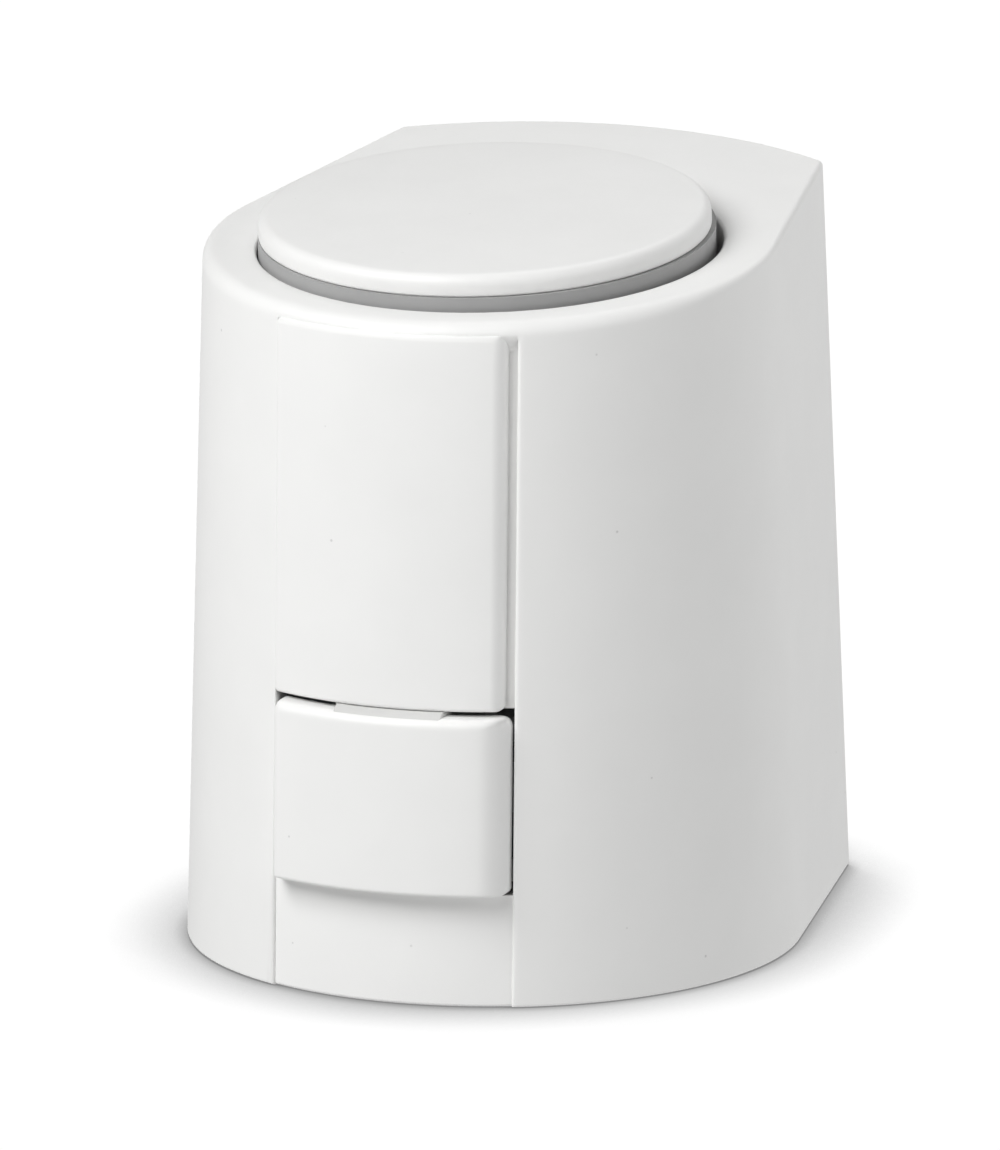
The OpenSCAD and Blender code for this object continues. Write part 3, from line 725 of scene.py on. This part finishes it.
def round_corners(x, z, box, corners):
    """Moves a grid point so that the panel's lower and upper corners are round in its outline."""
    left, right, low, high = box
    middle_x, middle_z = (left + right) / 2, (low + high) / 2
    corner = corners[0] if z < middle_z else corners[1]
    cx = right - corner if x > middle_x else left + corner
    cz = low + corner if z < middle_z else high - corner
    u, w = (x - cx) / corner, (z - cz) / corner
    if (x > middle_x) != (u > 0) or (z > middle_z) != (w > 0) or u == 0 or w == 0:
        return x, z
    k = max(abs(u), abs(w)) / math.hypot(u, w)
    return cx + corner * u * k, cz + corner * w * k


BUTTON_EDGES = ((0.7, 1.3), (1.7, 1.8), (0.3, 0.5), (0.6, 0.8))  # left, right, low and top edge
BUTTON_CORNERS, BUTTON_THIN = (0.4, 0.8), 0.1
STRIP_EDGES = ((0.25, 0.2), (0.75, 0.75), (0.25, 0.25), (0.9, 0.28))
STRIP_CORNERS, STRIP_THIN = (0.35, 0.5), 0.05
TAB_EDGE, FOOT_EDGE, FOOT_OVERLAP = 0.15, 0.22, 0.03
PANEL_GAP = 0.01  # keeps the strip's rear off the bed


def build_button():
    """The proud release button, whose right edge falls away most."""
    box = (BUTTON_LEFT, BUTTON_RIGHT, BUTTON_LOW, BUTTON_TOP)
    deepest = BUTTON_PROUD + BUTTON_SKIN - BUTTON_THIN

    def shape(x, z):
        px, pz = round_corners(x, z, box, BUTTON_CORNERS)
        return px, pz, BUTTON_PROUD - min(edge_drop(x, z, box, BUTTON_EDGES), deepest)

    right_zone = BUTTON_EDGES[1][0]
    xs = lines(BUTTON_LEFT, BUTTON_RIGHT, BUTTON_CORNERS[1], right_zone, step=ACROSS_STEP)
    zs = lines(BUTTON_LOW, BUTTON_TOP, *BUTTON_CORNERS, step=0.9)
    points, faces = panel(xs, zs, shape, BUTTON_SKIN)
    return make_piece("button_cover", points, faces, "release_body", ["release_button"], sharp=50)


def build_tab():
    """Grey end of the locking slide that shows between the strip and the button."""
    def shape(x, z):
        rise = min(1.0, (TAB_TOP - z) / TAB_SLOPE_Z) * (TAB_PROUD - TAB_PROUD_TOP)
        side = fall(min(x - TAB_LEFT, TAB_RIGHT - x), TAB_EDGE, TAB_EDGE)
        return x, z, TAB_PROUD_TOP + rise - side

    xs = lines(TAB_LEFT, TAB_RIGHT, TAB_EDGE, TAB_EDGE, step=ACROSS_STEP)
    zs = lines(TAB_LOW, TAB_TOP, TAB_EDGE, TAB_EDGE, step=0.1)
    points, faces = panel(xs, zs, shape, BUTTON_SKIN)
    return make_piece("slide_tab", points, faces, "release_body", [], slot="tongue_grey", sharp=50)


def build_strip():
    """The plain strip above the button."""
    box = (STRIP_LEFT, STRIP_RIGHT, STRIP_LOW, STRIP_TOP)

    def shape(x, z):
        px, pz = round_corners(x, z, box, STRIP_CORNERS)
        drop = edge_drop(x, z, box, STRIP_EDGES)
        return px, pz, max(STRIP_PROUD - drop, STRIP_THIN - BED_DEPTH)

    right_zone = STRIP_EDGES[1][0]
    xs = lines(STRIP_LEFT, STRIP_RIGHT, STRIP_CORNERS[0], right_zone, step=ACROSS_STEP)
    zs = lines(STRIP_LOW, STRIP_TOP, *STRIP_CORNERS, step=1.5)
    points, faces = panel(xs, zs, shape, BED_DEPTH - PANEL_GAP)
    return make_piece("strip_cover", points, faces, "housing_body", ["front_strip"], sharp=50)


def build_foot():
    """Lower end of the slot, under the housing's surface."""
    left, right = SLOT_LEFT - FOOT_OVERLAP, SLOT_RIGHT + FOOT_OVERLAP

    def shape(x, z):
        return x, z, -FOOT_RECESS - fall(z, FOOT_EDGE, FOOT_EDGE)

    xs = lines(left, right, FOOT_EDGE, FOOT_EDGE, step=ACROSS_STEP)
    zs = lines(0, FOOT_TOP, FOOT_EDGE, FOOT_EDGE, step=1.2)
    points, faces = panel(xs, zs, shape, WALL - FOOT_RECESS)
    return make_piece("foot_cover", points, faces, "housing_body", ["front_foot"], sharp=50)


# ---------------------------------------------------------------- indicator
CAP_EDGE_R, CAP_LOW_EDGE_R, CAP_DOME = 0.8, 0.2, 0.25
CAP_UNDER_RINGS, CAP_TOP_RINGS = (8.0, 14.0), (14.6, 13, 10, 7, 4, 2)
POST_R, POST_OVERLAP = 5.0, 0.1
ROUND, POST_ROUND = 192, 48  # points around the indicator and around its post
SLEEVE_BEVEL = 0.15


def build_cap():
    """The disc, slightly domed and tilted with the top, and the post that carries it."""
    flat_r = CAP_R - CAP_EDGE_R
    profile = [(r, 0.0) for r in CAP_UNDER_RINGS]
    profile += arc(CAP_R - CAP_LOW_EDGE_R, CAP_LOW_EDGE_R, CAP_LOW_EDGE_R, -90, 0, 5)
    profile += arc(flat_r, CAP_T - CAP_EDGE_R, CAP_EDGE_R, 0, 90, 9)
    profile += [(r, CAP_T + CAP_DOME * (1 - (r / flat_r) ** 2)) for r in CAP_TOP_RINGS]
    cx, cy = CAP_CENTRE

    def tilt(p):
        """From the cap's own axes to the head's."""
        c, s = math.cos(CAP_SLOPE), math.sin(CAP_SLOPE)
        return cx + p[0], cy + p[1] * c - p[2] * s, TOP_Z + CAP_LIFT + p[1] * s + p[2] * c

    points = [tilt((r * math.cos(t), r * math.sin(t), z)) for r, z in profile for t in turns(ROUND)]
    faces = ring_faces(len(profile), ROUND, close_rows=False)
    faces += fan(points, 0, ROUND, tilt((0, 0, 0)))
    faces += fan(points, (len(profile) - 1) * ROUND, ROUND, tilt((0, 0, CAP_T + CAP_DOME)))
    post = [(POST_R * math.cos(t), POST_R * math.sin(t), TUBE_TOP) for t in turns(POST_ROUND)]
    post += [(x, y, cap_z(y) + POST_OVERLAP) for x, y, _ in post]
    post_faces = ring_faces(2, POST_ROUND, close_rows=False)
    post_faces += [tuple(range(POST_ROUND)), tuple(range(POST_ROUND, 2 * POST_ROUND))]
    points, faces = join((points, faces), (post, post_faces))
    return make_piece("indicator_disc", points, faces, "lifter_body", ["indicator_cap"])


def build_sleeve():
    """Grey band under the cap; its top follows the cap's underside."""
    inner_r = SLEEVE_R - SLEEVE_WALL
    rows = [
        (SLEEVE_R - SLEEVE_BEVEL, SLEEVE_LOW),
        (SLEEVE_R, SLEEVE_LOW + SLEEVE_BEVEL),
        (SLEEVE_R, None),
        (inner_r, None),
        (inner_r, SLEEVE_LOW),
    ]
    points = []
    for r, z in rows:
        for t in turns(ROUND):
            x, y = r * math.cos(t), r * math.sin(t)
            points.append((x, y, cap_z(y) if z is None else z))
    faces = ring_faces(len(rows), ROUND)
    return make_piece("indicator_band", points, faces, "lifter_body", ["indicator_sleeve"])


# ---------------------------------------------------------------- springs
SPRING_STEPS, LATCH_STEPS, LATCH_SIDES = 40, 22, 10  # points per coil and around the thin wire


def build_closing_spring():
    """Stands on the lifter's flange and presses against the spring plate."""
    route = coil_route(SPRING_R, SPRING_WIRE, PLATE_Z - FLANGE_TOP, SPRING_TURNS, SPRING_STEPS)
    route = [(x, y, z + FLANGE_TOP) for x, y, z in route]
    points, faces = tube(route, SPRING_WIRE / 2)
    piece = make_piece("closing_coil", points, faces, None, ["closing_spring"], normals=False)
    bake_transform(piece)


def build_latch_springs():
    """Lie along Y on both sides and push the locking slide out."""
    low, high = LATCH_Y
    route = coil_route(LATCH_R, LATCH_WIRE, high - low, LATCH_TURNS, LATCH_STEPS)
    parts = []
    for side in (-1, 1):
        lying = [(side * LATCH_X + x, low + z, LATCH_Z - y) for x, y, z in route]
        parts.append(tube(lying, LATCH_WIRE / 2, LATCH_SIDES))
    points, faces = join(*parts)
    piece = make_piece("latch_coils", points, faces, None, ["latch_springs"], normals=False)
    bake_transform(piece)


# ---------------------------------------------------------------- valve adapter
FLUTES, FLUTE_DEPTH, FLUTE_HALF = 24, 0.4, 0.24  # half width as a part of the spacing
FLUTE_TOP, FLUTE_RUN_OUT = 5.0, 0.6
THREAD_STEEP, THREAD_CREST, THREAD_RUN_OUT = 2.6, 0.15, 0.8
THREAD_ROWS, ADAPTER_SEGMENTS = 40, 240
GROOVE_BEVEL, GROOVE_FILLET = 0.15, 0.2
MOUTH = [(15.2, 0.0), (15.9, 0.0), (16.05, 0.12)]  # radius and height of the lower end's rows
FLUTE_ROWS, GRIP_TOP = (0.5, 1.5, 3.0, 4.2, 4.5, 4.8, FLUTE_TOP), 6.2
ADAPTER_CHAMFER = 1
SEAL_GAP = 0.02


def clamp(k):
    return min(1.0, max(0.0, k))


def thread_radius(z, t):
    """Radius of the adapter's internal thread at a height and an angle."""
    k = (z / THREAD_PITCH - t / (2 * math.pi)) % 1
    flank = clamp((0.5 - abs(k - 0.5)) * THREAD_STEEP - THREAD_CREST)
    ends = clamp(z / THREAD_RUN_OUT) * clamp((THREAD_LEN - z) / THREAD_RUN_OUT)
    return THREAD_R + THREAD_DEPTH * flank * ends


def fluted_radius(z, t):
    """Radius of the adapter's outside, with grip flutes below the groove."""
    k = (t * FLUTES / (2 * math.pi)) % 1 - 0.5
    width = max(0.0, 1 - (k / FLUTE_HALF) ** 2)
    return ADAPTER_R - FLUTE_DEPTH * width * clamp((FLUTE_TOP - z) / FLUTE_RUN_OUT)


def build_adapter():
    """Threaded ring: rows go down the thread, up the outside and back to the seal's seat."""
    groove_r, groove_top = ADAPTER_R - GROOVE_DEPTH, GROOVE_Z + GROOVE_H
    seal_top = THREAD_LEN + SEAL_T
    rows = [(thread_radius, THREAD_LEN * k / THREAD_ROWS) for k in range(THREAD_ROWS, -1, -1)]
    rows += MOUTH
    rows += [(fluted_radius, z) for z in FLUTE_ROWS]
    rows += [(ADAPTER_R, GRIP_TOP), (ADAPTER_R, GROOVE_Z - GROOVE_BEVEL)]
    rows += [(ADAPTER_R - GROOVE_BEVEL, GROOVE_Z)]
    rows += [(groove_r + GROOVE_FILLET, GROOVE_Z), (groove_r, GROOVE_Z + GROOVE_FILLET)]
    rows += [(groove_r, groove_top - GROOVE_FILLET), (groove_r + GROOVE_FILLET, groove_top)]
    rows += [(ADAPTER_R - GROOVE_BEVEL, groove_top), (ADAPTER_R, groove_top + GROOVE_BEVEL)]
    rows += [(ADAPTER_R, ADAPTER_H - ADAPTER_CHAMFER), (ADAPTER_R - ADAPTER_CHAMFER, ADAPTER_H)]
    rows += [(NECK_R + GROOVE_FILLET, ADAPTER_H), (NECK_R, ADAPTER_H - GROOVE_FILLET)]
    rows += [(NECK_R, seal_top), (SEAL_R, seal_top), (SEAL_R, THREAD_LEN + SEAL_GAP)]
    points = []
    for r, z in rows:
        for t in turns(ADAPTER_SEGMENTS):
            radius = r(z, t) if callable(r) else r
            points.append((radius * math.cos(t), radius * math.sin(t), z))
    faces = ring_faces(len(rows), ADAPTER_SEGMENTS)
    return make_piece("adapter_nut", points, faces, "adapter_body", ["valve_adapter"])


build_housing()
build_strip()
build_foot()
build_button()
build_tab()
build_cap()
build_sleeve()
build_closing_spring()
build_latch_springs()
build_adapter()

for name, node in frame["nodes"].items():
    finish = FINISH[SLOT_OF[name]]
    if node.material_slots:
        for held in node.material_slots:
            held.material = finish
    else:
        node.data.materials.append(finish)


# ---------------------------------------------------------------- floor and light
LIGHT_DISTANCE, LIGHT_SIZE = 0.7, 0.45  # metres
LIGHTS = {  # azimuth from the front towards +X, elevation, power
    "key": (-32, 45, 5.05),
    "side": (80, 15, 1.2),
    "front_right": (45, 45, 0.3),
    "rear_right": (140, 15, 0.89),
    "rear_low": (180, 20, 0.5),
    "rear_high": (180, 60, 0.9),
}
BOUNCE = 0.685  # light that comes up from below
# Painted shadows on the floor's glow, made from ambient occlusion rather than cast by the lamps.
PAINTED_SHADOWS = (  # reach, side it looks to, and the tones where it is fully and not at all hidden
    (14.0, (-0.25, 0.95, 0.15), 0.42, 0.8, 0.35),
    (1.4, (0, 0, 1), 0.4, 0.95, 0.7),
)
SHADOW_SAMPLES = 16
WHITE = 1.02  # just past white, so that floor and background leave no trace
FLOOR_RINGS, FLOOR_SEGMENTS, FLOOR_DROP = (0.03, 0.1, 0.4, 1.5, 6.0), 64, 0.00005  # metres
HORIZON = 0.02  # the light from below fades out over this much on both sides of the horizon


def add_floor():
    """A pale round floor that glows white, with a painted shadow that darkens its glow close to the
    foot.
    """
    around = turns(FLOOR_SEGMENTS)
    points = [(r * math.cos(t), r * math.sin(t), 0) for r in FLOOR_RINGS for t in around]
    faces = ring_faces(len(FLOOR_RINGS), FLOOR_SEGMENTS, close_rows=False)
    faces += fan(points, 0, FLOOR_SEGMENTS, (0, 0, 0))
    mesh = bpy.data.meshes.new("floor")
    mesh.from_pydata(points, [], faces)
    floor = bpy.data.objects.new("floor", mesh)
    floor.location.z = -FLOOR_DROP
    floor.visible_diffuse = floor.visible_glossy = floor.visible_shadow = False
    bpy.context.scene.collection.objects.link(floor)
    g = Graph("floor_white")
    tones = []
    # Each ramp paints shadow into the floor's glow where the object is near.
    for reach, side, low, high, dark in PAINTED_SHADOWS:
        near = g.tree.nodes.new("ShaderNodeAmbientOcclusion")
        near.samples = SHADOW_SAMPLES
        near.inputs["Distance"].default_value = reach * MM
        near.inputs["Normal"].default_value = Vector(side).normalized()
        tones.append(g.ramp(near.outputs["AO"], low, high, (dark,) * 3, (1.0,) * 3))
    both = g.tree.nodes.new("ShaderNodeVectorMath")
    both.operation = "MULTIPLY"
    g.link(tones[0], both.inputs[0])
    g.link(tones[1], both.inputs[1])
    g.link(both.outputs["Vector"], g.shader.inputs["Emission Color"])
    g.shader.inputs["Emission Strength"].default_value = WHITE
    g.shader.inputs["Base Color"].default_value = (0, 0, 0, 1)
    g.shader.inputs["Specular IOR Level"].default_value = 0
    mesh.materials.append(g.material)


def add_light(name, azimuth, elevation, power):
    """A square soft light that faces the object."""
    away = direction(azimuth, elevation)
    data = bpy.data.lights.new(name, "AREA")
    data.shape = "SQUARE"
    data.size = LIGHT_SIZE
    data.energy = power
    light = bpy.data.objects.new(name, data)
    light.location = Vector((0, 0, AIM_HEIGHT * MM)) + away * LIGHT_DISTANCE
    light.rotation_euler = away.to_track_quat("Z", "Y").to_euler()
    bpy.context.scene.collection.objects.link(light)


def add_world():
    """White all round to the eye; it lights the object from below only, as a white table would."""
    world = bpy.data.worlds.new("studio")
    world.use_nodes = True
    tree = world.node_tree
    place = tree.nodes.new("ShaderNodeTexCoord")
    split = tree.nodes.new("ShaderNodeSeparateXYZ")
    bounce = tree.nodes.new("ShaderNodeMapRange")
    bounce.inputs["From Min"].default_value = -HORIZON
    bounce.inputs["From Max"].default_value = HORIZON
    bounce.inputs["To Min"].default_value = BOUNCE
    bounce.inputs["To Max"].default_value = 0.0
    seen = tree.nodes.new("ShaderNodeLightPath")
    mix = tree.nodes.new("ShaderNodeMix")
    mix.inputs["B"].default_value = WHITE
    tree.links.new(place.outputs["Generated"], split.inputs["Vector"])
    tree.links.new(split.outputs["Z"], bounce.inputs["Value"])
    tree.links.new(seen.outputs["Is Camera Ray"], mix.inputs["Factor"])
    tree.links.new(bounce.outputs["Result"], mix.inputs["A"])
    tree.links.new(mix.outputs["Result"], tree.nodes["Background"].inputs["Strength"])
    tree.nodes["Background"].inputs["Color"].default_value = (1, 1, 1, 1)
    bpy.context.scene.world = world


add_floor()
for name, settings in LIGHTS.items():
    add_light(name, *settings)
add_world()
bpy.context.scene.view_settings.view_transform = "Standard"
